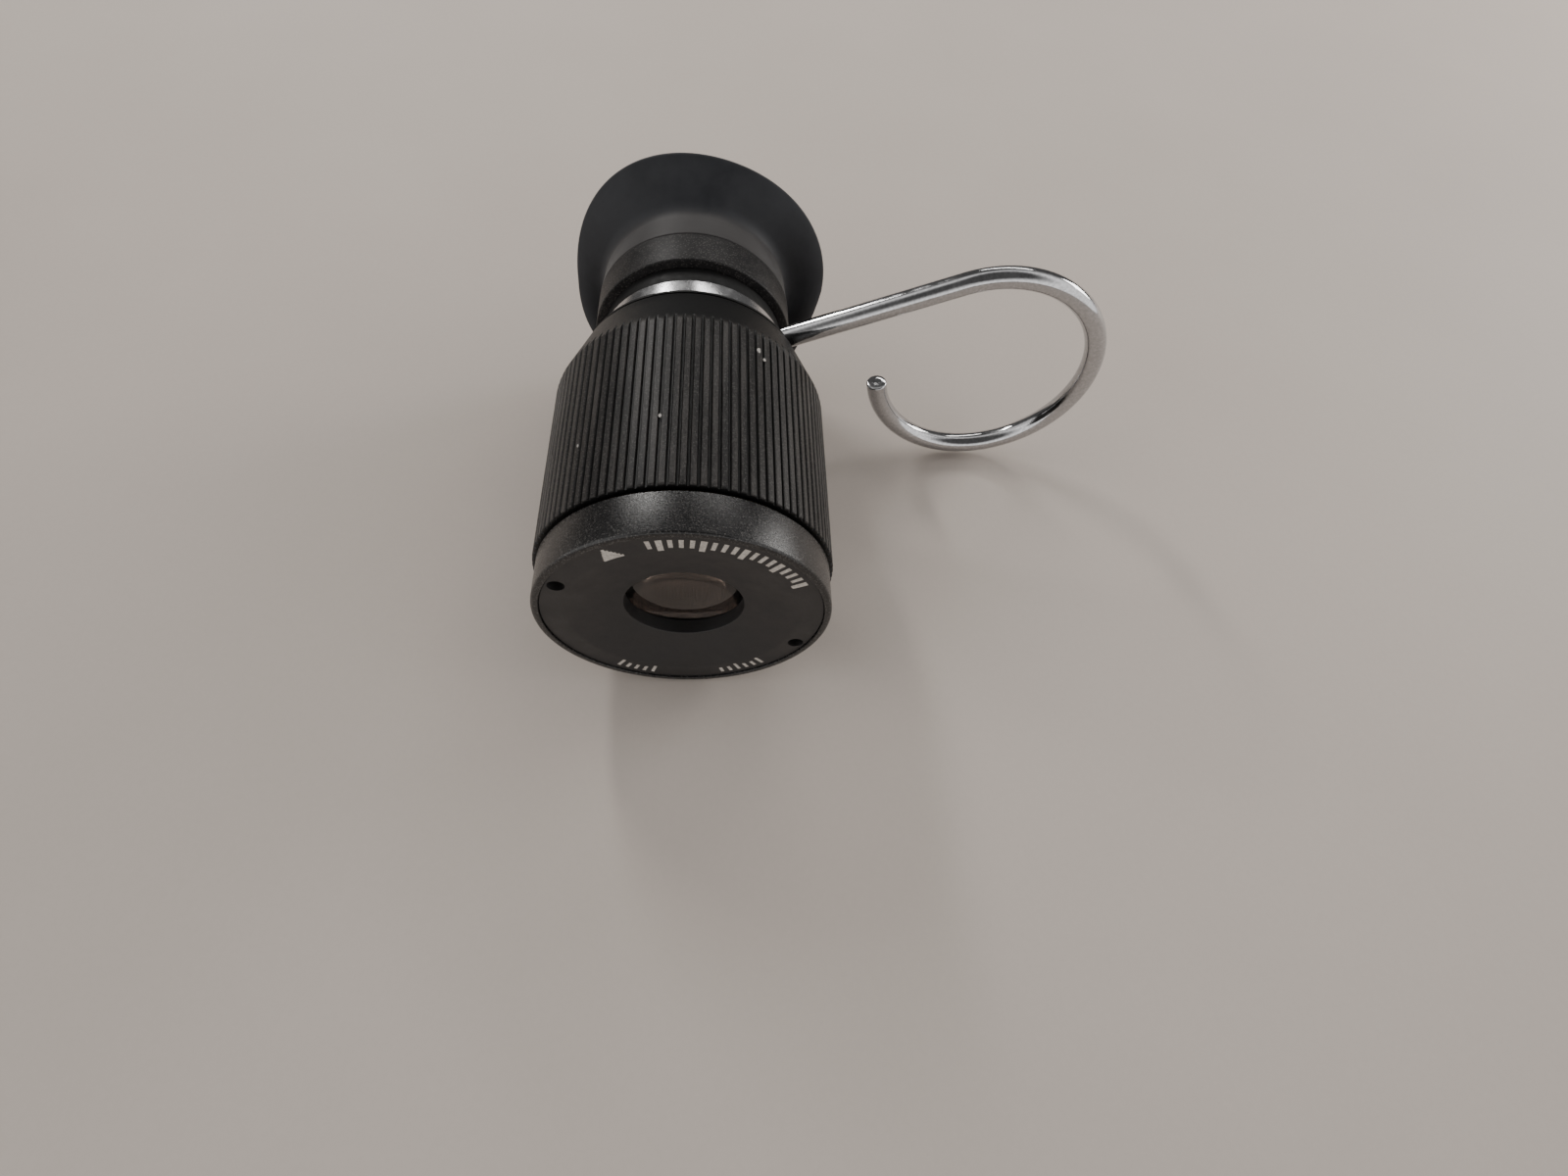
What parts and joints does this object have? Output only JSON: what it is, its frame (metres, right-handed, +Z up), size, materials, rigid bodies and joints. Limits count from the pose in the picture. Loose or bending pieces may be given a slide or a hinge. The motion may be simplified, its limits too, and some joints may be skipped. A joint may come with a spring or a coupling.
{
  "type": "pocket monocular",
  "caption": "Pocket monocular with a knurled focusing sleeve, a flared rubber eyecup and a chromed wire finger ring on a swivelling hub.",
  "frame": {"origin": "on the optical axis, at the middle of the smooth front band", "axes": "+Y along the optical axis from the objective to the eye, +Z up as the part lies on a table, +X towards the finger ring"},
  "size_m": [0.0674, 0.0541, 0.0322],
  "materials": {
    "black_anodised": "bead-blasted and black anodised, fine sparkle",
    "black_anodised_inner": "black anodised, matt inside",
    "matt_black": "matt black with light printed marks",
    "satin_black": "satin black anodised",
    "coated_glass": "anti-reflection coated, faint violet-brown reflection",
    "clear_glass": "polished, clear",
    "steel": "fine turned",
    "brass_ring": "turned",
    "cage_metal": "dark anodised, matt",
    "chromed_steel": "polished, with fine draw marks",
    "washer_black": "matt black acetal",
    "seal_rubber": "soft, greased",
    "eyecup_rubber": "matt blue-black rubber with a soft sheen"
  },
  "bodies": {
    "body": {"barrel": "black_anodised_inner", "sleeve_lock_ring": "brass_ring", "sleeve_seal": "seal_rubber", "prism_cage": "cage_metal", "helper_prism": "clear_glass", "roof_prism": "clear_glass", "prism_clamp": "steel", "clamp_screws": "steel", "cage_lock_ring": "cage_metal", "field_stop": "cage_metal", "hub_washer": "washer_black", "hub_lock_ring": "matt_black", "eyepiece_housing": "satin_black", "field_lens": "coated_glass", "eyepiece_spacer": "cage_metal", "eye_flint_lens": "coated_glass", "eye_crown_lens": "coated_glass", "eyepiece_retainer": "matt_black", "eyecup": "eyecup_rubber"},
    "sleeve": {"focus_sleeve": "black_anodised"},
    "objective": {"objective_tube": "black_anodised", "front_plate": "matt_black", "guide_pins": "steel", "objective_crown_lens": "coated_glass", "objective_flint_lens": "coated_glass"},
    "finger_ring": {"finger_ring_hub": "chromed_steel", "finger_ring_wire": "chromed_steel"}
  },
  "joints": [
    {"name": "focus_turn", "type": "hinge", "parent": "body", "child": "sleeve", "pos_m": [0, 0, 0], "axis": [0, 1, 0], "range_deg": [-8, 262]},
    {"name": "focus_slide", "type": "slide", "parent": "body", "child": "objective", "axis": [0, -1, 0], "range_m": [-0.0002, 0.0059]},
    {"name": "finger_ring_swivel", "type": "hinge", "parent": "body", "child": "finger_ring", "pos_m": [0, 0.0335, 0], "axis": [0, 1, 0], "continuous": true}
  ],
  "couplings": [
    {"joint": "focus_slide", "follows": "focus_turn", "m_per_rad": 0.0012732}
  ]
}
